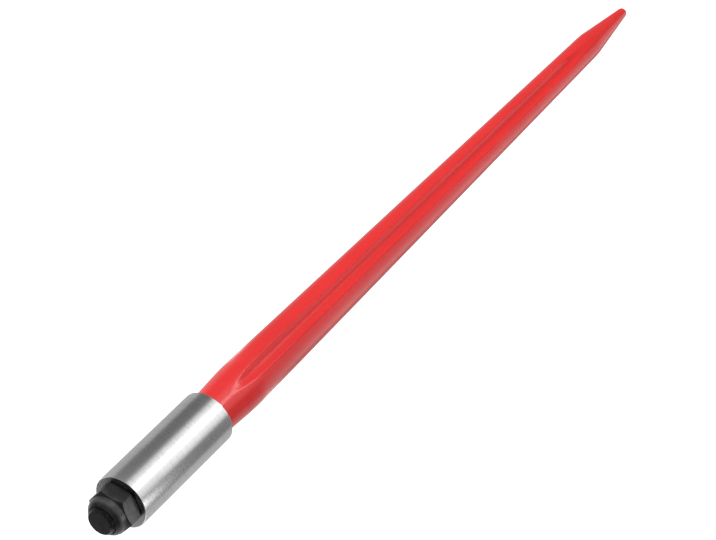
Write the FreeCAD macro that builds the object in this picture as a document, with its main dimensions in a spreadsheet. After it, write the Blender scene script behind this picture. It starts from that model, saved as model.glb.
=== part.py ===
import FreeCAD, Part
import math
import os
import Sketcher
from FreeCAD import Placement, Rotation, Vector

# Tapered bale spear for a front loader, in its weld-in sleeve, drawn up by a lock nut.
# The origin is the middle of the sleeve, on the spear's axis. +X runs along the axis to the tip
# and +Z is up. The sketches measure from the sleeve's rear face, where the nut seats, and each
# body's placement then carries it to the origin. Lengths are millimetres and angles are degrees.

sizes = [
    # the sleeve that is welded into the loader's beam
    ("sleeve_diameter", 55, "outside of the sleeve"),
    ("sleeve_length", 135, "rear face to mouth"),
    ("sleeve_chamfer", 0.7, "outer edges of both faces"),
    ("mouth_chamfer", 1.2, "inner edge of the mouth"),
    # the taper that the spear and the sleeve share
    ("taper_mouth_diameter", 44, "spear's taper where it leaves the mouth"),
    ("taper_small_diameter", 30, "spear's taper at its small end"),
    ("taper_start", 14, "rear face to the taper's small end"),
    ("taper_clearance", 0.03, "on the radius"),
    # the forged spear in front of the sleeve
    ("reach", 833, "mouth to tip"),
    ("swell_distance", 47, "mouth to the thickest place"),
    ("swell_blend_radius", 350, "rounds the thickest place"),
    ("shoulder_diameter", 29.4, "where the point begins"),
    ("shoulder_blend_radius", 150, "rounds the start of the point"),
    ("point_length", 86, "shoulder to tip"),
    ("nose_radius", 5.6, "blunt end of the point"),
    # the flutes that are forged along both sides
    ("flute_count", 2, "flutes around the spear"),
    ("flute_radius", 9, "round bottom of the flute"),
    ("flute_depth", 3.8, "below the spear's surface"),
    ("flute_lift", 0.5, "height above the surface at which the die's rib starts and ends"),
    ("flute_distance", 37, "mouth to the middle of the first run-out"),
    ("flute_end_distance", 129, "middle of the last run-out to the tip"),
    ("flute_blend_radius", 370, "dips the flute into the spear and out again"),
    ("flute_edge_radius", 2, "rounds the flute's edges"),
    ("flute_roll", 31.5, "turn of the flutes about the axis, from straight up"),
    # the threaded end, drawn as a plain cylinder at the thread's outer size
    ("thread_diameter", 28, "thread of the spear and its nut"),
    ("thread_clearance", 0.05, "on the radius"),
    ("stub_length", 31, "rear face to the end of the stub"),
    ("stub_chamfer", 1.8, "end of the stub"),
    ("relief_diameter", 25.6, "groove where the thread runs out"),
    ("relief_width", 6, "groove where the thread runs out"),
    # the all-metal lock nut
    ("nut_across_flats", 41, "hexagon"),
    ("nut_hex_height", 17, "hexagon, measured from the sleeve"),
    ("nut_height", 27, "hexagon and collar"),
    ("nut_face_diameter", 39.6, "flat of the nut's faces inside the turned corners"),
    ("nut_corner_slope", 30, "slope of the turned corners, from the nut's faces"),
    ("nut_corner_margin", 1, "how far the corner cuts run on outside the hexagon"),
    ("collar_diameter", 39, "collar where it meets the hexagon"),
    ("collar_round", 6.5, "radius that closes the collar in"),
    ("nut_countersink", 1.2, "both ends of the nut's bore"),
    ("nut_roll", 8, "turn of the nut about the axis, from a flat straight up"),
]

doc = FreeCAD.newDocument("bale_spear")
sheet = doc.addObject("Spreadsheet::Sheet", "Sizes")
for row, (alias, value, note) in enumerate(sizes, start=1):
    sheet.set(f"A{row}", alias)
    sheet.set(f"B{row}", str(value))
    sheet.set(f"C{row}", note)
    sheet.setAlias(f"B{row}", alias)
doc.recompute()
size = {alias: float(getattr(sheet, alias)) for alias, value, note in sizes}

start, end, centre = range(1, 4)  # the named points of a sketch's edges
origin = (-1, start)              # a sketch's own origin
axis = -1                         # a sketch's own horizontal axis, here always the spear's axis
rear_line = -2                    # a sketch's own vertical axis, here always the sleeve's rear face


def new_body(name, roll="0"):
    """Starts a sub-part, centred on the sleeve's middle and turned about the spear's axis."""
    body = doc.addObject("PartDesign::Body", name)
    body.Label = name
    body.Placement = Placement(Vector(0, 0, 0), Rotation(Vector(1, 0, 0), 1))
    body.setExpression("Placement.Base.x", "-Sizes.sleeve_length / 2")
    body.setExpression("Placement.Rotation.Angle", roll)
    return body


def origin_item(body, role):
    return next(item for item in body.Origin.OriginFeatures if item.Role == role)


def new_sketch(body, name, role="XZ_Plane"):
    sketch = body.newObject("Sketcher::SketchObject", name)
    sketch.AttachmentSupport = (origin_item(body, role), [""])
    sketch.MapMode = "FlatFace"
    return sketch


def add_chain(sketch, edges, smooth=(), closed=True):
    """Adds edges end to end. smooth lists the edges that run into the next one in a tangent."""
    ids = [sketch.addGeometry(edge, False) for edge in edges]
    for place, first in enumerate(ids if closed else ids[:-1]):
        second = ids[(place + 1) % len(ids)]
        pairs = [(a, b) for a in (start, end) for b in (start, end)]
        gap = lambda pair: sketch.getPoint(first, pair[0]).distanceToPoint(sketch.getPoint(second, pair[1]))
        a, b = min(pairs, key=gap)
        kind = "Tangent" if place in smooth else "Coincident"
        sketch.addConstraint(Sketcher.Constraint(kind, first, a, second, b))
    return ids


def add_polygon(sketch, corners, closed=True):
    points = [Vector(x, y, 0) for x, y in corners]
    followers = points[1:] + (points[:1] if closed else [])
    return add_chain(sketch, [Part.LineSegment(a, b) for a, b in zip(points, followers)], closed=closed)


def add_guide(sketch, x, y):
    """Adds a construction point, to hold lines that pass through it."""
    return (sketch.addGeometry(Part.Point(Vector(x, y, 0)), True), start)


def on_lines(sketch, point, *lines):
    for line in lines:
        sketch.addConstraint(Sketcher.Constraint("PointOnObject", *point, line))


def level(sketch, *lines):
    for line in lines:
        sketch.addConstraint(Sketcher.Constraint("Horizontal", line))


def upright(sketch, *lines):
    for line in lines:
        sketch.addConstraint(Sketcher.Constraint("Vertical", line))


def drive(sketch, name, formula, constraint):
    """Adds a dimension and binds it to the sheet."""
    sketch.renameConstraint(sketch.addConstraint(constraint), name)
    sketch.setExpression(f"Constraints.{name}", formula)


def across(sketch, name, first, second, formula):
    gap = sketch.getPoint(*second).x - sketch.getPoint(*first).x
    drive(sketch, name, formula, Sketcher.Constraint("DistanceX", *first, *second, gap))


def up(sketch, name, first, second, formula):
    gap = sketch.getPoint(*second).y - sketch.getPoint(*first).y
    drive(sketch, name, formula, Sketcher.Constraint("DistanceY", *first, *second, gap))


def rounded(sketch, name, arc, formula):
    drive(sketch, name, formula, Sketcher.Constraint("Radius", arc, sketch.Geometry[arc].Radius))


def blend(before, corner, after, radius):
    """Gives the two tangent points and the middle of an arc that rounds a corner."""
    back = (before - corner).normalize()
    ahead = (after - corner).normalize()
    half = back.getAngle(ahead) / 2
    reach = radius / math.tan(half)
    middle = corner + (back + ahead).normalize() * (radius / math.sin(half))
    return corner + back * reach, middle + (corner - middle).normalize() * radius, corner + ahead * reach


def revolve(body, sketch, kind, name):
    """Turns a half section about the spear's axis."""
    feature = body.newObject(kind, name)
    feature.Profile = sketch
    feature.ReferenceAxis = (sketch, ["H_Axis"])
    feature.Angle = 360
    return feature


def recompute(message):
    doc.recompute()
    failed = [item.Name for item in doc.Objects if "Invalid" in item.State or "Error" in item.State]
    if failed:
        raise RuntimeError(f"{message}: {failed}")


# ---- the spear: one forging with a turned taper and a threaded end ----

def taper_radius(x):
    run = size["sleeve_length"] - size["taper_start"]
    rise = (size["taper_mouth_diameter"] - size["taper_small_diameter"]) / 2
    return size["taper_small_diameter"] / 2 + (x - size["taper_start"]) * rise / run


tip = size["sleeve_length"] + size["reach"]
swell = Vector(size["sleeve_length"] + size["swell_distance"], 0, 0)
swell.y = taper_radius(swell.x)
shoulder = Vector(tip - size["point_length"], size["shoulder_diameter"] / 2, 0)


def draw_spear_section(body):
    """Half of the spear's long section, from the stub's end round to the nose."""
    sketch = new_sketch(body, "SpearSection")
    stub, thread = -size["stub_length"], size["thread_diameter"] / 2
    chamfer, relief = size["stub_chamfer"], size["relief_diameter"] / 2
    small, taper = size["taper_small_diameter"] / 2, size["taper_start"]
    groove = taper - size["relief_width"]
    nose = size["nose_radius"]
    ball = Vector(tip - nose, 0, 0)
    slope = math.atan2(shoulder.y, ball.x - shoulder.x) - math.asin(nose / (ball - shoulder).Length)
    cheek = ball + Vector(math.sin(slope), math.cos(slope), 0) * nose
    brow = ball + Vector(math.cos(math.pi / 4 - slope / 2), math.sin(math.pi / 4 - slope / 2), 0) * nose
    crest = blend(Vector(taper, small, 0), swell, shoulder, size["swell_blend_radius"])
    bend = blend(swell, shoulder, cheek, size["shoulder_blend_radius"])
    corners = [(stub, 0), (stub, thread - chamfer), (stub + chamfer, thread), (groove, thread),
               (groove, relief), (taper, relief), (taper, small)]
    points = [Vector(x, y, 0) for x, y in corners] + [crest[0]]
    edges = [Part.LineSegment(a, b) for a, b in zip(points, points[1:])]
    edges += [Part.Arc(*crest), Part.LineSegment(crest[2], bend[0]), Part.Arc(*bend)]
    edges += [Part.LineSegment(bend[2], cheek), Part.Arc(cheek, brow, Vector(tip, 0, 0))]
    edges += [Part.LineSegment(Vector(tip, 0, 0), Vector(stub, 0, 0))]
    ids = add_chain(sketch, edges, smooth=(6, 7, 8, 9, 10))
    face, bevel, land, wall, floor, step, cone, top, shank, turn, point, dome, middle = ids
    upright(sketch, face, wall, step)
    level(sketch, land, floor, middle)
    on_lines(sketch, (middle, start), axis)
    on_lines(sketch, (dome, centre), axis)
    across(sketch, "stub_length", (face, start), origin, "Sizes.stub_length")
    across(sketch, "stub_chamfer", (bevel, start), (bevel, end), "Sizes.stub_chamfer")
    up(sketch, "stub_chamfer_rise", (bevel, start), (bevel, end), "Sizes.stub_chamfer")
    up(sketch, "thread_radius", origin, (land, start), "Sizes.thread_diameter / 2")
    up(sketch, "relief_radius", origin, (floor, start), "Sizes.relief_diameter / 2")
    across(sketch, "relief_width", (floor, start), (floor, end), "Sizes.relief_width")
    across(sketch, "taper_start", origin, (step, end), "Sizes.taper_start")
    up(sketch, "taper_small_radius", origin, (step, end), "Sizes.taper_small_diameter / 2")
    mouth = add_guide(sketch, size["sleeve_length"], size["taper_mouth_diameter"] / 2)
    across(sketch, "mouth_place", origin, mouth, "Sizes.sleeve_length")
    up(sketch, "mouth_radius", origin, mouth, "Sizes.taper_mouth_diameter / 2")
    on_lines(sketch, mouth, cone)
    thickest = add_guide(sketch, swell.x, swell.y)
    across(sketch, "swell_place", origin, thickest, "Sizes.sleeve_length + Sizes.swell_distance")
    on_lines(sketch, thickest, cone, shank)
    rounded(sketch, "swell_blend", top, "Sizes.swell_blend_radius")
    brink = add_guide(sketch, shoulder.x, shoulder.y)
    across(sketch, "point_length", brink, (middle, start), "Sizes.point_length")
    up(sketch, "shoulder_radius", origin, brink, "Sizes.shoulder_diameter / 2")
    on_lines(sketch, brink, shank, point)
    rounded(sketch, "shoulder_blend", turn, "Sizes.shoulder_blend_radius")
    rounded(sketch, "nose", dome, "Sizes.nose_radius")
    across(sketch, "tip_place", origin, (middle, start), "Sizes.sleeve_length + Sizes.reach")
    return sketch


# The flute is laid out beside the shank's straight side, carried back to the mouth: x runs along
# that line and y stands square to it, away from the axis.
swell_formula = ("(Sizes.taper_small_diameter + (Sizes.taper_mouth_diameter - Sizes.taper_small_diameter)"
                 " * (Sizes.sleeve_length + Sizes.swell_distance - Sizes.taper_start)"
                 " / (Sizes.sleeve_length - Sizes.taper_start)) / 2")
slope_formula = (f"({swell_formula} - Sizes.shoulder_diameter / 2)"
                 " / (Sizes.reach - Sizes.swell_distance - Sizes.point_length)")


def draw_flute_path(body):
    """The line that the die's round rib follows: in over the surface, along below it, and out."""
    sketch = new_sketch(body, "FlutePath")
    sketch.AttachmentOffset = Placement(Vector(0, 0, 0), Rotation(Vector(0, 0, -1), 1))
    sketch.setExpression("AttachmentOffset.Base.x", "Sizes.sleeve_length")
    height_formula = f"{swell_formula} + Sizes.swell_distance * {slope_formula}"
    sketch.setExpression("AttachmentOffset.Base.y", height_formula)
    sketch.setExpression("AttachmentOffset.Rotation.Angle", f"atan({slope_formula})")
    radius, high = size["flute_blend_radius"], size["flute_radius"] + size["flute_lift"]
    low = size["flute_radius"] - size["flute_depth"]
    drop = (high - low) / 2
    turn = math.acos(1 - drop / radius)
    half = radius * math.sin(turn)
    bow, sag = radius * math.sin(turn / 2), radius * (1 - math.cos(turn / 2))

    def dip(middle, way):
        """Two equal arcs from the high line to the low one. way is 1 forwards and -1 back."""
        top, bottom = Vector(middle - way * half, high, 0), Vector(middle + way * half, low, 0)
        between = Vector(middle, (high + low) / 2, 0)
        return (Part.Arc(top, top + Vector(way * bow, -sag, 0), between),
                Part.Arc(between, bottom + Vector(-way * bow, sag, 0), bottom), bottom)

    enter, settle, first = dip(size["flute_distance"], 1)
    leave, rise, last = dip(size["reach"] - size["flute_end_distance"], -1)
    edges = [enter, settle, Part.LineSegment(first, last), rise, leave]
    enter, settle, floor, rise, leave = add_chain(sketch, edges, smooth=(0, 1, 2, 3), closed=False)
    level(sketch, floor)
    up(sketch, "floor_height", origin, (floor, start), "Sizes.flute_radius - Sizes.flute_depth")
    for name, arc, other, outer in (("enter", enter, settle, end), ("leave", leave, rise, start)):
        sketch.addConstraint(Sketcher.Constraint("Vertical", arc, outer, arc, centre))
        sketch.addConstraint(Sketcher.Constraint("Equal", arc, other))
        up(sketch, f"{name}_height", origin, (arc, outer), "Sizes.flute_radius + Sizes.flute_lift")
        rounded(sketch, f"{name}_blend", arc, "Sizes.flute_blend_radius")
    across(sketch, "enter_place", origin, (enter, start), "Sizes.flute_distance")
    across(sketch, "leave_place", origin, (leave, end), "Sizes.reach - Sizes.flute_end_distance")
    return sketch


def draw_flute_rib(body, path):
    sketch = body.newObject("Sketcher::SketchObject", "FluteRib")
    sketch.AttachmentSupport = [(path, "Edge1"), (path, "Vertex1")]
    sketch.MapMode = "NormalToEdge"
    circle = sketch.addGeometry(Part.Circle(Vector(0, 0, 0), Vector(0, 0, 1), size["flute_radius"]), False)
    sketch.addConstraint(Sketcher.Constraint("Coincident", circle, centre, *origin))
    rounded(sketch, "rib_radius", circle, "Sizes.flute_radius")
    return sketch


def flute_edges(shape):
    """Picks the long edges where the flutes break through the spear's surface."""
    mouth, brink = size["sleeve_length"], tip - size["point_length"]
    names = []
    for number, edge in enumerate(shape.Edges, start=1):
        box = edge.BoundBox
        if edge.Degenerated or box.XMin < mouth or box.XMax > brink:
            continue
        if edge.Curve.TypeId == "Part::GeomBSplineCurve" and box.XLength > size["flute_edge_radius"]:
            names.append(f"Edge{number}")
    return names


def make_spear():
    body = new_body("spear", "Sizes.flute_roll")
    forging = revolve(body, draw_spear_section(body), "PartDesign::Revolution", "Forging")
    recompute("the spear's forging")
    path = draw_flute_path(body)
    recompute("the flute's path")
    rib = draw_flute_rib(body, path)
    flute = body.newObject("PartDesign::SubtractivePipe", "Flute")
    flute.Profile = rib
    flute.Spine = path
    recompute("the first flute")
    if flute.Shape.Volume >= forging.Shape.Volume:
        raise RuntimeError("the flute cuts nothing")
    flutes = body.newObject("PartDesign::PolarPattern", "Flutes")
    flutes.Originals = [flute]
    flutes.Axis = (origin_item(body, "X_Axis"), [""])
    flutes.Angle = 360
    flutes.setExpression("Occurrences", "Sizes.flute_count")
    body.Tip = flutes
    recompute("the flutes")
    edges = body.newObject("PartDesign::Fillet", "FluteEdges")
    edges.Base = (flutes, flute_edges(flutes.Shape))
    edges.setExpression("Radius", "Sizes.flute_edge_radius")
    body.Tip = edges
    recompute("the flutes' edges")
    return body


# ---- the sleeve: one turned tube, bored to the spear's taper ----

def draw_sleeve_section(body):
    sketch = new_sketch(body, "SleeveSection")
    length, outside, chamfer = size["sleeve_length"], size["sleeve_diameter"] / 2, size["sleeve_chamfer"]
    gap, taper, lead = size["taper_clearance"], size["taper_start"], size["mouth_chamfer"]
    small, wide = size["taper_small_diameter"] / 2 + gap, taper_radius(length - lead) + gap
    mouth = taper_radius(length) + gap + lead
    ids = add_polygon(sketch, [(0, small), (0, outside - chamfer), (chamfer, outside),
                               (length - chamfer, outside), (length, outside - chamfer), (length, mouth),
                               (length - lead, wide), (taper, small)])
    rear, rear_edge, side, front_edge, front, lip, cone, hole = ids
    upright(sketch, rear, front)
    level(sketch, side, hole)
    on_lines(sketch, origin, rear)
    across(sketch, "length", origin, (front, start), "Sizes.sleeve_length")
    up(sketch, "outside", origin, (side, start), "Sizes.sleeve_diameter / 2")
    for name, edge in (("rear", rear_edge), ("front", front_edge)):
        across(sketch, f"{name}_chamfer_run", (edge, start), (edge, end), "Sizes.sleeve_chamfer")
    up(sketch, "rear_chamfer_rise", (rear_edge, start), (rear_edge, end), "Sizes.sleeve_chamfer")
    up(sketch, "front_chamfer_rise", (front_edge, end), (front_edge, start), "Sizes.sleeve_chamfer")
    up(sketch, "hole", origin, (hole, end), "Sizes.taper_small_diameter / 2 + Sizes.taper_clearance")
    across(sketch, "taper_start", origin, (hole, start), "Sizes.taper_start")
    gauge = add_guide(sketch, length, taper_radius(length) + gap)
    on_lines(sketch, gauge, cone, front)
    up(sketch, "mouth", origin, gauge, "Sizes.taper_mouth_diameter / 2 + Sizes.taper_clearance")
    across(sketch, "lip_run", (lip, end), (lip, start), "Sizes.mouth_chamfer")
    up(sketch, "lip_rise", gauge, (lip, start), "Sizes.mouth_chamfer")
    return sketch


def make_sleeve():
    body = new_body("weld_sleeve")
    revolve(body, draw_sleeve_section(body), "PartDesign::Revolution", "Tube")
    recompute("the sleeve")
    return body


# ---- the nut: a hexagon with turned corners and a round collar, squeezed after tapping to grip ----

def draw_hexagon(body):
    sketch = new_sketch(body, "Hexagon", "YZ_Plane")
    reach = size["nut_across_flats"] / math.sqrt(3)
    turns = [math.radians(30 + 60 * side) for side in range(6)]
    ids = add_polygon(sketch, [(reach * math.cos(turn), reach * math.sin(turn)) for turn in turns])
    ring = sketch.addGeometry(Part.Circle(Vector(0, 0, 0), Vector(0, 0, 1), reach), True)
    sketch.addConstraint(Sketcher.Constraint("Coincident", ring, centre, *origin))
    for side in ids:
        on_lines(sketch, (side, start), ring)
    for side in ids[1:]:
        sketch.addConstraint(Sketcher.Constraint("Equal", ids[0], side))
    upright(sketch, ids[-1])
    across(sketch, "across_flats", (ids[2], start), (ids[5], start), "Sizes.nut_across_flats")
    return sketch


def draw_nut_corners(body):
    """The two rings that the turned corners lose, one at each face of the hexagon."""
    sketch = new_sketch(body, "NutCorners")
    flat = size["nut_face_diameter"] / 2
    beyond = size["nut_across_flats"] / math.sqrt(3) + size["nut_corner_margin"]
    beyond_formula = "Sizes.nut_across_flats / sqrt(3) + Sizes.nut_corner_margin"
    run = f"({beyond_formula} - Sizes.nut_face_diameter / 2) * tan(Sizes.nut_corner_slope)"
    depth = (beyond - flat) * math.tan(math.radians(size["nut_corner_slope"]))
    for name, face, way in (("seat", 0, -1), ("outer", -size["nut_hex_height"], 1)):
        corners = [(face, flat), (face, beyond), (face + way * depth, beyond)]
        ground, rim, slope = add_polygon(sketch, corners)
        upright(sketch, ground)
        level(sketch, rim)
        up(sketch, f"{name}_flat", origin, (ground, start), "Sizes.nut_face_diameter / 2")
        up(sketch, f"{name}_reach", origin, (ground, end), beyond_formula)
        if way < 0:
            on_lines(sketch, (ground, start), rear_line)
            across(sketch, f"{name}_run", (rim, end), (rim, start), run)
        else:
            across(sketch, f"{name}_place", (ground, start), origin, "Sizes.nut_hex_height")
            across(sketch, f"{name}_run", (rim, start), (rim, end), run)
    return sketch


def draw_collar(body):
    """Half section of the collar, closed in by a round shoulder at its outer end."""
    sketch = new_sketch(body, "CollarSection")
    base, outer = -size["nut_hex_height"], -size["nut_height"]
    side, curve = size["collar_diameter"] / 2, size["collar_round"]
    middle = Vector(outer + curve, side - curve, 0)
    shoulder_middle = middle + Vector(-1, 1, 0).normalize() * curve
    points = [Vector(x, y, 0) for x, y in ((outer + curve, side), (base, side), (base, 0), (outer, 0))]
    points.append(Vector(outer, side - curve, 0))
    edges = [Part.LineSegment(a, b) for a, b in zip(points, points[1:])]
    edges.append(Part.Arc(points[-1], shoulder_middle, points[0]))
    wall, root, middle_line, face, curl = add_chain(sketch, edges, smooth=(3, 4))
    level(sketch, wall, middle_line)
    upright(sketch, root, face)
    on_lines(sketch, (root, end), axis)
    up(sketch, "side", origin, (wall, end), "Sizes.collar_diameter / 2")
    across(sketch, "base", (root, end), origin, "Sizes.nut_hex_height")
    across(sketch, "outer", (face, start), origin, "Sizes.nut_height")
    rounded(sketch, "round", curl, "Sizes.collar_round")
    return sketch


def draw_nut_bore(body):
    sketch = new_sketch(body, "BoreSection")
    bore, sink = size["thread_diameter"] / 2 + size["thread_clearance"], size["nut_countersink"]
    outer = -size["nut_height"]
    ids = add_polygon(sketch, [(0, 0), (0, bore + sink), (-sink, bore), (outer + sink, bore),
                               (outer, bore + sink), (outer, 0)])
    seat, seat_sink, wall, outer_sink, face, middle = ids
    upright(sketch, seat, face)
    level(sketch, wall)
    on_lines(sketch, (middle, start), axis)
    sketch.addConstraint(Sketcher.Constraint("Coincident", seat, start, *origin))
    up(sketch, "bore", origin, (wall, start), "Sizes.thread_diameter / 2 + Sizes.thread_clearance")
    across(sketch, "outer", (face, start), origin, "Sizes.nut_height")
    sinks = (("seat", (seat_sink, start), (seat_sink, end)),
             ("outer", (outer_sink, end), (outer_sink, start)))
    for name, high, low in sinks:
        up(sketch, f"{name}_sink_rise", low, high, "Sizes.nut_countersink")
    across(sketch, "seat_sink_run", (seat_sink, end), (seat_sink, start), "Sizes.nut_countersink")
    across(sketch, "outer_sink_run", (outer_sink, end), (outer_sink, start), "Sizes.nut_countersink")
    return sketch


def make_nut():
    body = new_body("lock_nut", "Sizes.nut_roll")
    hexagon = body.newObject("PartDesign::Pad", "HexagonPad")
    hexagon.Profile = draw_hexagon(body)
    hexagon.Reversed = True
    hexagon.setExpression("Length", "Sizes.nut_hex_height")
    recompute("the nut's hexagon")
    corners = revolve(body, draw_nut_corners(body), "PartDesign::Groove", "TurnedCorners")
    recompute("the nut's corners")
    collar = revolve(body, draw_collar(body), "PartDesign::Revolution", "Collar")
    recompute("the nut's collar")
    bore = revolve(body, draw_nut_bore(body), "PartDesign::Groove", "Bore")
    recompute("the nut's bore")
    volumes = [feature.Shape.Volume for feature in (hexagon, corners, collar, bore)]
    if not volumes[1] < volumes[0] < volumes[2] or not volumes[3] < volumes[2]:
        raise RuntimeError(f"the nut's features don't add and cut as they should: {volumes}")
    return body


bodies = [make_sleeve(), make_spear(), make_nut()]
os.makedirs("parts", exist_ok=True)
for body in bodies:
    shape = body.Shape
    if shape.isNull() or not shape.isValid() or len(shape.Solids) != 1:
        raise RuntimeError(f"{body.Label} isn't one valid solid")
for body in bodies:
    body.Shape.exportStep(f"parts/{body.Label}.step")
    print(body.Label, round(body.Shape.Volume), "mm3")
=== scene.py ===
import math

import bmesh
import bpy
from mathutils import Matrix, Vector


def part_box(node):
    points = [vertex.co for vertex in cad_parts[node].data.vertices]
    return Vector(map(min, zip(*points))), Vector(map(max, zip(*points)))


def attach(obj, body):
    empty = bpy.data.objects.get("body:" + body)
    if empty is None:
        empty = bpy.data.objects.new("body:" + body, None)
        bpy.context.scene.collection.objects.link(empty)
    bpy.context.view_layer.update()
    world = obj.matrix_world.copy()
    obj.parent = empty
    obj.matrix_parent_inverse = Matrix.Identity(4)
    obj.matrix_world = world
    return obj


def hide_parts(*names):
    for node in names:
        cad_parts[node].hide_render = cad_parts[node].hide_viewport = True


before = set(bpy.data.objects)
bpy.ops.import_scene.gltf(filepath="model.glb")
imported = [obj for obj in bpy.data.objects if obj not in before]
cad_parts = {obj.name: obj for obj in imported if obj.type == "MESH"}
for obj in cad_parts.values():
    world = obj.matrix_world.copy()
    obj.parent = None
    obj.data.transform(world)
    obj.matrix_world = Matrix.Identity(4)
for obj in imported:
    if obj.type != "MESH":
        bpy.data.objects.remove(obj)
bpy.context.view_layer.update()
mm = 0.001

# the places that every piece works from
sleeveLow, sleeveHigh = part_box("weld_sleeve")
spearLow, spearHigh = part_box("spear")
rearX, mouthX = sleeveLow.x, sleeveHigh.x
stubX, tipX = spearLow.x, spearHigh.x
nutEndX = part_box("lock_nut")[0].x
sleeveRadius = sleeveHigh.z


def around(x, radius, angle):
    # angle runs from straight up towards -Y, about the spear's axis
    return Vector((x, -radius * math.sin(angle), radius * math.cos(angle)))


def ring(x, radius, angles):
    # a row of points about the axis; the radius is a number, or a function of x and the angle
    return [around(x, radius(x, angle) if callable(radius) else radius, angle) for angle in angles]


def span(first, last, count):
    return [first + (last - first) * step / (count - 1) for step in range(count)]


def fromNearest(angle, first, count):
    # how far an angle is from the nearest of a count of evenly spaced ones
    step = 2 * math.pi / count
    return (angle - first + step / 2) % step - step / 2


def softMin(a, b, width):
    # the smaller of two, rounded over where they are within the width of each other
    near = max(width - abs(a - b), 0) / width
    return min(a, b) - near * near * width / 4


def loft(name, rows, closed=False, sharpAngle=32):
    # rows of points that go once round the axis; a row of one point closes an end
    mesh = bmesh.new()
    made = [[mesh.verts.new(point) for point in row] for row in rows]
    for before, after in zip(made, made[1:] + (made[:1] if closed else [])):
        count = max(len(before), len(after))
        for place in range(count):
            follow = (place + 1) % count
            if len(before) == 1:
                mesh.faces.new((before[0], after[place], after[follow]))
            elif len(after) == 1:
                mesh.faces.new((before[place], after[0], before[follow]))
            else:
                mesh.faces.new((before[place], after[place], after[follow], before[follow]))
    bmesh.ops.recalc_face_normals(mesh, faces=mesh.faces)
    for face in mesh.faces:
        face.smooth = True
    for edge in mesh.edges:
        if len(edge.link_faces) == 2 and edge.calc_face_angle() > math.radians(sharpAngle):
            edge.smooth = False
    data = bpy.data.meshes.new(name)
    mesh.to_mesh(data)
    mesh.free()
    piece = bpy.data.objects.new(name, data)
    bpy.context.scene.collection.objects.link(piece)
    return piece


thread = {"pitch": 1.5 * mm, "depth": 0.92 * mm, "radius": 14 * mm, "crest": 0.16, "root": 0.2}


def threadDrop(x, angle):
    # how far the helix lies below its crest at this place
    turn = (x / thread["pitch"] + angle / (2 * math.pi)) % 1
    rise = (abs(turn - 0.5) * 2 - thread["crest"]) / (1 - thread["crest"] - thread["root"])
    return thread["depth"] * min(max(rise, 0), 1)


spear = {
    "taperStart": rearX + 14 * mm, "taperSmall": 15 * mm, "taperMouth": 22 * mm,
    "swellDistance": 47 * mm, "swellBlend": 350 * mm,
    "shoulderRadius": 14.7 * mm, "shoulderBlend": 150 * mm, "pointLength": 86 * mm, "noseRadius": 5.6 * mm,
    "fluteCount": 2, "fluteRadius": 9 * mm, "fluteDepth": 3.8 * mm, "fluteLift": 0.5 * mm,
    "fluteDistance": 37 * mm, "fluteEndDistance": 129 * mm, "fluteBlend": 370 * mm,
    "fluteEdge": 2.0 * mm, "fluteRoll": math.radians(31.5),
    "stubChamfer": 1.8 * mm, "reliefRadius": 12.8 * mm, "reliefWidth": 6 * mm, "reliefRamp": 0.5 * mm,
    "runOut": 1.4 * mm, "runOutLift": 0.1 * mm, "runOutDepth": 0.6 * mm,
    # rows are close together on the two stretches where the flutes start and end
    "columns": 176, "columnPull": 0.32, "columnPower": 1.6, "stretchRows": 100, "noseRows": 10,
    "rearStretch": 140 * mm, "frontStretch": 130 * mm, "firstRow": 3 * mm, "seatEnd": 6 * mm,
    "rowsPerTurn": 8, "endRing": 0.5, "sharpAngle": 38,
}
grooveX = spear["taperStart"] - spear["reliefWidth"]
taperSlope = (spear["taperMouth"] - spear["taperSmall"]) / (mouthX - spear["taperStart"])
swellX = mouthX + spear["swellDistance"]
swellRadius = spear["taperSmall"] + (swellX - spear["taperStart"]) * taperSlope
shoulderX = tipX - spear["pointLength"]
shankSlope = (spear["shoulderRadius"] - swellRadius) / (shoulderX - swellX)
noseX = tipX - spear["noseRadius"]
noseTurn = (math.atan2(spear["shoulderRadius"], noseX - shoulderX)
            - math.asin(spear["noseRadius"] / math.hypot(spear["shoulderRadius"], noseX - shoulderX)))
noseStart = noseX + spear["noseRadius"] * math.sin(noseTurn)
pointSlope = -math.tan(noseTurn)


def bodyRadius(x):
    # straight stretches that run into each other over round blends, then the nose
    if x > noseStart:
        return math.sqrt(max(spear["noseRadius"] ** 2 - (x - noseX) ** 2, 0))
    radius = swellRadius + (x - swellX) * (taperSlope if x < swellX else shankSlope)
    if x > shoulderX:
        radius = spear["shoulderRadius"] + (x - shoulderX) * pointSlope
    for knot, blend, turn in ((swellX, spear["swellBlend"], taperSlope - shankSlope),
                              (shoulderX, spear["shoulderBlend"], shankSlope - pointSlope)):
        reach = blend * turn / 2
        if abs(x - knot) < reach:
            radius -= turn * (reach - abs(x - knot)) ** 2 / (4 * reach)
    return radius


def fluteHeight(x):
    # from the axis to the centre of the flute's round bottom, or None where it isn't cut
    drop = spear["fluteLift"] + spear["fluteDepth"]
    reach = math.sqrt(drop * spear["fluteBlend"])
    starts = mouthX + spear["fluteDistance"] - reach
    ends = tipX - spear["fluteEndDistance"] + reach
    inside = min(x - starts, ends - x)
    if inside <= 0:
        return None
    sunk = drop
    if inside < 2 * reach:
        part = min(inside, 2 * reach - inside)
        sunk = part * part / (2 * spear["fluteBlend"])
        sunk = sunk if inside < reach else drop - sunk
    return swellRadius + (x - swellX) * shankSlope + spear["fluteRadius"] + spear["fluteLift"] - sunk


def shankRadius(x, angle):
    radius = bodyRadius(x)
    height = fluteHeight(x)
    if height is None:
        return radius
    off = fromNearest(angle, spear["fluteRoll"], spear["fluteCount"])
    side = height * math.sin(off)
    if abs(off) > math.pi / 2 or abs(side) >= spear["fluteRadius"]:
        return radius
    flute = height * math.cos(off) - math.sqrt(spear["fluteRadius"] ** 2 - side ** 2)
    return softMin(radius, flute, spear["fluteEdge"])


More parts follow.
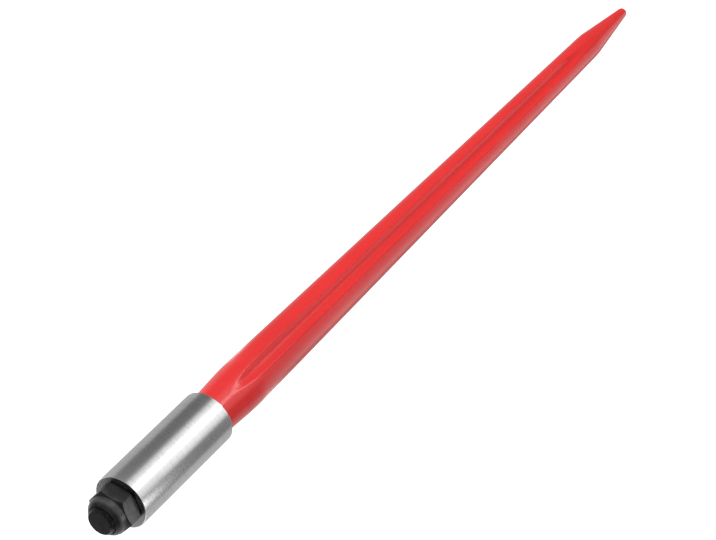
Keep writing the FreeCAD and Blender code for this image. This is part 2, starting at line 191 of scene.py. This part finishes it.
def stubRadius(x, angle):
    # the thread, chamfered at the stub's end and running out into the relief groove
    threaded = thread["radius"] - threadDrop(x, angle)
    chamfer = thread["radius"] - spear["stubChamfer"] + (x - stubX)
    runOut = thread["radius"] + spear["runOutLift"] - max(x - grooveX + spear["runOut"], 0)
    return max(min(threaded, chamfer, runOut), spear["reliefRadius"] - spear["runOutDepth"])


def spearColumns():
    # angles about the axis, closer together over the flutes
    step = 2 * math.pi / spear["fluteCount"]
    each = spear["columns"] // spear["fluteCount"]
    pull = spear["columnPull"]
    angles = []
    for flute in range(spear["fluteCount"]):
        for place in range(each):
            off = (place / each - 0.5) * 2
            squeezed = off * (pull + (1 - pull) * abs(off) ** spear["columnPower"])
            angles.append(spear["fluteRoll"] + step * (flute + squeezed / 2))
    return angles


def makeSpear():
    angles = spearColumns()
    seatX = mouthX - spear["seatEnd"]
    rearEnd, frontStart = mouthX + spear["rearStretch"], shoulderX - spear["frontStretch"]
    threadRows = int((grooveX - stubX) / thread["pitch"] * spear["rowsPerTurn"])
    shankRows = span(mouthX - spear["firstRow"], rearEnd, spear["stretchRows"])
    shankRows += span(rearEnd, frontStart, spear["stretchRows"])[1:-1]
    shankRows += span(frontStart, noseStart, spear["stretchRows"])

    rows = [[Vector((stubX, 0, 0))]]
    rows.append(ring(stubX, (thread["radius"] - spear["stubChamfer"]) * spear["endRing"], angles))
    rows += [ring(x, stubRadius, angles) for x in span(stubX, grooveX, threadRows)]
    for x, radius in ((grooveX + spear["reliefRamp"], spear["reliefRadius"]),
                      (spear["taperStart"], spear["reliefRadius"]),
                      (spear["taperStart"], spear["taperSmall"]), (seatX, bodyRadius(seatX))):
        rows.append(ring(x, radius, angles))
    rows += [ring(x, shankRadius, angles) for x in shankRows]
    for turn in span(noseTurn, math.pi / 2, spear["noseRows"])[1:-1]:
        x = noseX + spear["noseRadius"] * math.sin(turn)
        rows.append(ring(x, spear["noseRadius"] * math.cos(turn), angles))
    rows.append([Vector((tipX, 0, 0))])
    return loft("spearForging", rows, sharpAngle=spear["sharpAngle"])


sleeve = {
    "chamfer": 0.7 * mm, "mouthChamfer": 1.2 * mm, "gap": 0.03 * mm, "edge": 0.18 * mm,
    "rearRing": 4 * mm, "segments": 256, "rows": 9, "sharpAngle": 20,
}


def makeSleeve():
    # an outline round the wall, from the bore's small end and back to it
    small = spear["taperSmall"] + sleeve["gap"]
    mouth = spear["taperMouth"] + sleeve["gap"]
    lip, chamfer = sleeve["mouthChamfer"], sleeve["chamfer"]
    outline = [(rearX, small), (rearX, small + sleeve["rearRing"]), (rearX, sleeveRadius - chamfer)]
    outline += [(x, sleeveRadius) for x in span(rearX + chamfer, mouthX - chamfer, sleeve["rows"])]
    outline += [(mouthX, sleeveRadius - chamfer), (mouthX, mouth + lip),
                (mouthX - lip, mouth - lip * taperSlope), (spear["taperStart"], small)]
    angles = [2 * math.pi * step / sleeve["segments"] for step in range(sleeve["segments"])]
    rows = [ring(x, radius, angles) for x, radius in outline]
    piece = loft("weldSleeve", rows, closed=True, sharpAngle=sleeve["sharpAngle"])
    roundEdges(piece, sleeve["edge"])
    return piece


def roundEdges(piece, width):
    bevel = piece.modifiers.new("RoundEdges", "BEVEL")
    bevel.width = width
    bevel.segments = 2
    bevel.limit_method = "ANGLE"
    bevel.angle_limit = math.radians(25)
    bevel.harden_normals = True


nut = {
    "sides": 6, "acrossFlats": 41 * mm, "hexHeight": 17 * mm, "faceRadius": 19.8 * mm,
    "cornerSlope": math.radians(30),
    "cornerEase": 0.35 * mm, "collarRadius": 19.5 * mm, "collarRound": 6.5 * mm, "collarFillet": 0.2 * mm,
    "countersink": 1.2 * mm, "gap": 0.05 * mm, "roll": math.radians(8),
    "crimps": 3, "crimpDepth": 0.55 * mm, "crimpPlace": 4.2 * mm, "crimpLength": 3.6 * mm, "crimpTurn": 0.2,
    "columns": 240, "collarStart": 1.5 * mm, "collarRows": 4, "roundRows": 12, "rowsPerTurn": 9,
    "sharpAngle": 24,
}


def hexRadius(angle):
    # the nearest flat and the next one, eased where they meet
    off = abs(fromNearest(angle, nut["roll"], nut["sides"]))
    halfFlats = nut["acrossFlats"] / 2
    nextOff = 2 * math.pi / nut["sides"] - off
    return softMin(halfFlats / math.cos(off), halfFlats / math.cos(nextOff), nut["cornerEase"])


def crimp(x, angle):
    # the squeezed places of the collar that grip the thread
    off = fromNearest(angle, nut["roll"] + math.pi / nut["sides"], nut["crimps"])
    along = (x - (nutEndX + nut["crimpPlace"])) / nut["crimpLength"]
    return nut["crimpDepth"] * math.exp(-(off / nut["crimpTurn"]) ** 2 - along ** 2)


def crimpedRadius(x, angle):
    return nut["collarRadius"] - crimp(x, angle)


def threadedRadius(x, angle):
    return thread["radius"] + nut["gap"] - threadDrop(x, angle)


def makeNut():
    # rows from the bore, out over the hexagon and the collar, and back through the threaded bore
    angles = [nut["roll"] + 2 * math.pi * step / nut["columns"] for step in range(nut["columns"])]
    bore, sink, fillet = thread["radius"] + nut["gap"], nut["countersink"], nut["collarFillet"]
    outerX = rearX - nut["hexHeight"]
    roundX = nutEndX + nut["collarRound"]
    rise = math.tan(nut["cornerSlope"])
    threadRows = int(nut["hexHeight"] / thread["pitch"] * nut["rowsPerTurn"])

    rows = [ring(rearX, bore + sink, angles), ring(rearX, nut["faceRadius"], angles)]
    for x, way in ((rearX, -1), (outerX, 1)):
        rows.append([around(x + way * (hexRadius(angle) - nut["faceRadius"]) * rise, hexRadius(angle), angle)
                     for angle in angles])
    rows.append(ring(outerX, nut["faceRadius"], angles))
    rows.append(ring(outerX, nut["collarRadius"] + fillet, angles))
    rows.append(ring(outerX - fillet, nut["collarRadius"], angles))
    collarRows = span(outerX - nut["collarStart"], roundX, nut["collarRows"])
    rows += [ring(x, crimpedRadius, angles) for x in collarRows]
    for turn in span(0, math.pi / 2, nut["roundRows"])[1:]:
        x = roundX - nut["collarRound"] * math.sin(turn)
        radius = max(nut["collarRadius"] - nut["collarRound"] * (1 - math.cos(turn)), bore + sink)
        rows.append([around(x, radius - crimp(x, angle) * math.cos(turn), angle) for angle in angles])
    rows.append(ring(nutEndX, bore + sink, angles))
    rows += [ring(x, threadedRadius, angles) for x in span(nutEndX + sink, rearX - sink, threadRows)]
    return loft("lockNut", rows, closed=True, sharpAngle=nut["sharpAngle"])


class Wire:
    # a shader value that can be used in sums
    def __init__(self, tree, socket):
        self.tree = tree
        self.socket = socket

    def calc(self, operation, first, second):
        return self.tree.add("Math", {"operation": operation}, {0: first, 1: second})

    def __add__(self, other):
        return self.calc("ADD", self, other)

    def __sub__(self, other):
        return self.calc("SUBTRACT", self, other)

    def __rsub__(self, other):
        return self.calc("SUBTRACT", other, self)

    def __mul__(self, other):
        return self.calc("MULTIPLY", self, other)

    def __or__(self, other):
        return self.calc("MAXIMUM", self, other)

    __radd__ = __add__
    __rmul__ = __mul__
    __ror__ = __or__


class Tree:
    # the nodes of one material or world
    def __init__(self, owner):
        owner.use_nodes = True
        self.owner = owner
        self.nodes = owner.node_tree.nodes

    def fill(self, node, inputs):
        # each input takes a value, or a wire that is linked to it
        for name, value in inputs.items():
            if isinstance(value, Wire):
                self.owner.node_tree.links.new(value.socket, node.inputs[name])
            else:
                node.inputs[name].default_value = value

    def add(self, kind, settings=None, inputs=None, output=0):
        node = self.nodes.new("ShaderNode" + kind)
        for name, value in (settings or {}).items():
            if name == "stops":
                self.setStops(node.color_ramp.elements, value)
            else:
                setattr(node, name, value)
        self.fill(node, inputs or {})
        return Wire(self, node.outputs[output])

    def setStops(self, elements, stops):
        while len(elements) < len(stops):
            elements.new(1)
        for element, (position, value) in zip(elements, stops):
            element.position = position
            element.color = (value, value, value, 1)


class Finish(Tree):
    # a material round the Principled shader, with the nodes that the finishes share
    def __init__(self, name, constants):
        super().__init__(bpy.data.materials.new(name))
        self.shader = self.nodes["Principled BSDF"]
        self.fill(self.shader, constants)
        self.place = self.add("TexCoord", output="Object")

    def feed(self, inputs):
        self.fill(self.shader, inputs)
        return self.owner

    def mix(self, factor, first, second):
        return self.add("Mix", {"data_type": "RGBA"}, {0: factor, 6: first, 7: second}, output=2)

    def scaled(self, x, y, z):
        return self.add("VectorMath", {"operation": "MULTIPLY"}, {0: self.place, 1: (x, y, z)})

    def noise(self, scale, detail=3, roughness=0.55, vector=None):
        return self.add("TexNoise", None, {"Vector": vector or self.place, "Scale": scale, "Detail": detail,
                                           "Roughness": roughness})

    def ramp(self, value, *stops):
        return self.add("ValToRGB", {"stops": stops}, {0: value})

    def along(self, axis):
        return self.add("SeparateXYZ", None, {0: self.place}, output=axis)

    def bump(self, height, strength, distance, normal=None):
        inputs = {"Height": height, "Strength": strength, "Distance": distance}
        if normal:
            inputs["Normal"] = normal
        return self.add("Bump", None, inputs)


def blend(first, second, share):
    # two values added together, with this share of the first
    return first * share + second * (1 - share)


# in the finishes a noise is (scale, detail, roughness), a bump is (strength, depth) and stops are a ramp's
enamel = {
    "red": (0.80, 0.022, 0.022, 1), "deep": (0.68, 0.015, 0.017, 1), "black": (0.012, 0.012, 0.013, 1),
    "index": 1.4, "coat": 0.35, "coatRoughness": 0.12,
    "paintEdge": mouthX - 4 * mm, "paintFade": 2 * mm, "paintStops": ((0.4, 0), (0.6, 1)),
    "cloud": (9, 4), "fine": (160, 3), "cloudShare": 0.6,
    "deepStops": ((0.42, 0), (0.75, 0.55)), "roughStops": ((0.3, 0.23), (0.7, 0.34)),
    "peel": (520, 2, 0.5), "peelBump": (0.12, 0.05 * mm),
    "forged": (70, 3, 0.5), "forgedStretch": (0.35, 1, 1), "forgedBump": (0.3, 0.25 * mm),
}


def makeEnamel():
    finish = Finish("redEnamel", {"IOR": enamel["index"], "Coat Roughness": enamel["coatRoughness"],
                                  "Coat IOR": enamel["index"]})
    fade = (finish.along("X") - enamel["paintEdge"]) * (1 / enamel["paintFade"]) + 0.5
    painted = finish.ramp(fade, *enamel["paintStops"])
    cloud = finish.noise(*enamel["cloud"])
    fine = finish.noise(*enamel["fine"])
    skin = finish.mix(finish.ramp(cloud, *enamel["deepStops"]), enamel["red"], enamel["deep"])
    colour = finish.mix(painted, enamel["black"], skin)
    rough = finish.ramp(blend(cloud, fine, enamel["cloudShare"]), *enamel["roughStops"])
    peel = finish.bump(finish.noise(*enamel["peel"]), *enamel["peelBump"])
    forgedNoise = finish.noise(*enamel["forged"], vector=finish.scaled(*enamel["forgedStretch"]))
    forged = finish.bump(forgedNoise, *enamel["forgedBump"], normal=peel)
    return finish.feed({"Base Color": colour, "Roughness": rough, "Coat Weight": painted * enamel["coat"],
                        "Normal": forged})


steel = {
    "bright": (0.66, 0.66, 0.665, 1), "dull": (0.50, 0.50, 0.51, 1),
    "rings": (900, 4, 0.7), "ringStretch": (1, 0.015, 0.015), "ringShare": 0.5, "broad": (14, 4, 0.6),
    "brightStops": ((0.35, 0), (0.65, 1)), "roughStops": ((0.35, 0.30), (0.65, 0.24)),
    "ringBump": (0.25, 0.03 * mm),
}


def makeSteel():
    finish = Finish("turnedSteel", {"Metallic": 1})
    rings = finish.noise(*steel["rings"], vector=finish.scaled(*steel["ringStretch"]))
    tone = blend(rings, finish.noise(*steel["broad"]), steel["ringShare"])
    colour = finish.mix(finish.ramp(tone, *steel["brightStops"]), steel["dull"], steel["bright"])
    rough = finish.ramp(tone, *steel["roughStops"])
    return finish.feed({"Base Color": colour, "Roughness": rough,
                        "Normal": finish.bump(rings, *steel["ringBump"])})


oxide = {
    "black": (0.018, 0.018, 0.019, 1), "worn": (0.075, 0.075, 0.078, 1), "metallic": 0.35, "index": 1.5,
    "cloud": (60, 4, 0.6), "fine": (700, 3), "cloudShare": 0.5,
    "wornStops": ((0.45, 0), (0.8, 1)), "roughStops": ((0.3, 0.28), (0.7, 0.44)),
    "fineBump": (0.2, 0.05 * mm),
}


def makeOxide():
    finish = Finish("blackOxide", {"Metallic": oxide["metallic"], "IOR": oxide["index"]})
    cloud = finish.noise(*oxide["cloud"])
    fine = finish.noise(*oxide["fine"])
    colour = finish.mix(finish.ramp(cloud, *oxide["wornStops"]), oxide["black"], oxide["worn"])
    rough = finish.ramp(blend(cloud, fine, oxide["cloudShare"]), *oxide["roughStops"])
    return finish.feed({"Base Color": colour, "Roughness": rough,
                        "Normal": finish.bump(fine, *oxide["fineBump"])})


for piece, node, slot, material in ((makeSpear(), "spear", "red_enamel", makeEnamel()),
                                    (makeSleeve(), "weld_sleeve", "turned_steel", makeSteel()),
                                    (makeNut(), "lock_nut", "black_oxide", makeOxide())):
    piece.data.materials.append(material)
    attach(piece, "root")
    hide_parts(node)
    print(piece.name, "stands for", node, "with", len(piece.data.polygons), "faces")


# lengths in metres; places along the axis are from the sleeve's middle, the frame's origin
studio = {
    "floorDrop": 0.32, "floorSize": 30, "floorColour": (0.8, 0.8, 0.8, 1), "floorRoughness": 0.9,
    "floorGlow": 0.55, "worldLight": 0.55, "white": (1, 1, 1, 1),
    "keyAngle": math.radians(-12), "keyDistance": 1.6, "keyWatts": 27, "keySize": 2.4,
    "cardColumns": 24,
}
# cards that only reflections see: (from, to) along the axis, distance from it, (from, to) in degrees
# about it, brightness
cards = {
    "softBox": ((0.50, 1.08), 1.0, (6, 68), 1.5),
    "brightStrip": ((0.50, 1.04), 0.98, (28, 40), 7),
    "sleeveUpper": ((0.07, 0.36), 0.3, (-60, -3), 0.21),
    "sleeveLower": ((0.07, 0.36), 0.3, (78, 130), 0.21),
    "sleeveUnder": ((0.07, 0.36), 0.3, (130, 300), 0.62),
    "shankUpper": ((0.365, 2.2), 0.3, (-90, 72), 0.22),
    "shankLower": ((0.39, 2.2), 0.3, (150, 270), 0.4),
    "nutFacet": ((-0.03, 0.10), 0.29, (86, 112), 5),
}
rearCard = {"place": -0.3, "low": -0.34, "reach": 0.55, "brightness": 0.02}  # upright, behind the nut


def addSheet(name, rows, material):
    # a sheet between two rows of points
    count = len(rows[0])
    faces = [(place, place + count, place + count + 1, place + 1) for place in range(count - 1)]
    mesh = bpy.data.meshes.new(name)
    mesh.from_pydata([*rows[0], *rows[1]], [], faces)
    mesh.materials.append(material)
    sheet = bpy.data.objects.new(name, mesh)
    bpy.context.scene.collection.objects.link(sheet)
    return sheet


def seenBy(tree):
    # 1 where a ray comes straight from the camera, a mirror or glass
    straight, mirrored, through = [tree.add("LightPath", output=name)
                                   for name in ("Is Camera Ray", "Is Glossy Ray", "Is Transmission Ray")]
    return straight | mirrored | through


def makeFloor():
    finish = Finish("paleFloor", {"Base Color": studio["floorColour"], "Roughness": studio["floorRoughness"],
                                  "Specular IOR Level": 0, "Emission Color": studio["white"]})
    material = finish.feed({"Emission Strength": seenBy(finish) * studio["floorGlow"]})
    half, low = studio["floorSize"] / 2, sleeveLow.z - studio["floorDrop"]
    addSheet("floor", [[(x, y, low) for y in (-half, half)] for x in (-half, half)], material)


def makeWorld():
    # white where it is seen, and dimmer as a light
    world = bpy.data.worlds.new("studioWorld")
    tree = Tree(world)
    seen = seenBy(tree)
    level = seen + (1 - seen) * studio["worldLight"]
    tree.fill(tree.nodes["Background"], {"Color": studio["white"], "Strength": level})
    bpy.context.scene.world = world


def makeKey():
    lamp = bpy.data.lights.new("keyLight", "AREA")
    lamp.size = studio["keySize"]
    lamp.energy = studio["keyWatts"]
    light = bpy.data.objects.new("keyLight", lamp)
    place = around((stubX + tipX) / 2, studio["keyDistance"], studio["keyAngle"])
    light.matrix_world = Matrix.Translation(place) @ Matrix.Rotation(studio["keyAngle"], 4, "X")
    light.visible_glossy = False
    bpy.context.scene.collection.objects.link(light)


def makeCard(name, rows, level):
    tree = Tree(bpy.data.materials.new(name))
    tree.nodes.remove(tree.nodes["Principled BSDF"])
    tree.fill(tree.nodes["Material Output"], {"Surface": tree.add("Emission", None, {"Strength": level})})
    card = addSheet(name, rows, tree.owner)
    card.visible_camera = False
    card.visible_diffuse = False
    card.visible_shadow = False
    card.visible_transmission = False


def makeCards():
    for name, (ends, distance, (firstTurn, lastTurn), level) in cards.items():
        turns = [math.radians(turn) for turn in span(firstTurn, lastTurn, studio["cardColumns"])]
        makeCard(name, [ring(x, distance, turns) for x in ends], level)
    sides = (-rearCard["reach"], rearCard["reach"])
    rows = [[(rearCard["place"], y, z) for y in sides] for z in (rearCard["low"], rearCard["reach"])]
    makeCard("rearCard", rows, rearCard["brightness"])


makeFloor()
makeWorld()
makeKey()
makeCards()
print("studio is lit")


camera = {
    "lens": 122.4, "sensor": 36, "shift": (0.0008, 0.0027),
    "fromRear": (-1.2189, -1.0112, 1.4771), "forward": (0.6690, 0.4197, -0.6134),
}


def makeCamera():
    data = bpy.data.cameras.new("camera")
    data.lens = camera["lens"]
    data.sensor_width = camera["sensor"]
    data.shift_x, data.shift_y = camera["shift"]
    viewer = bpy.data.objects.new("camera", data)
    forward = Vector(camera["forward"]).normalized()
    right = forward.cross(Vector((0, 0, 1))).normalized()
    turn = Matrix((right, right.cross(forward), -forward)).transposed().to_4x4()
    viewer.matrix_world = Matrix.Translation(Vector((rearX, 0, 0)) + Vector(camera["fromRear"])) @ turn
    bpy.context.scene.collection.objects.link(viewer)
    bpy.context.scene.camera = viewer


makeCamera()
bpy.context.scene.view_settings.view_transform = "Standard"
print("camera is set")
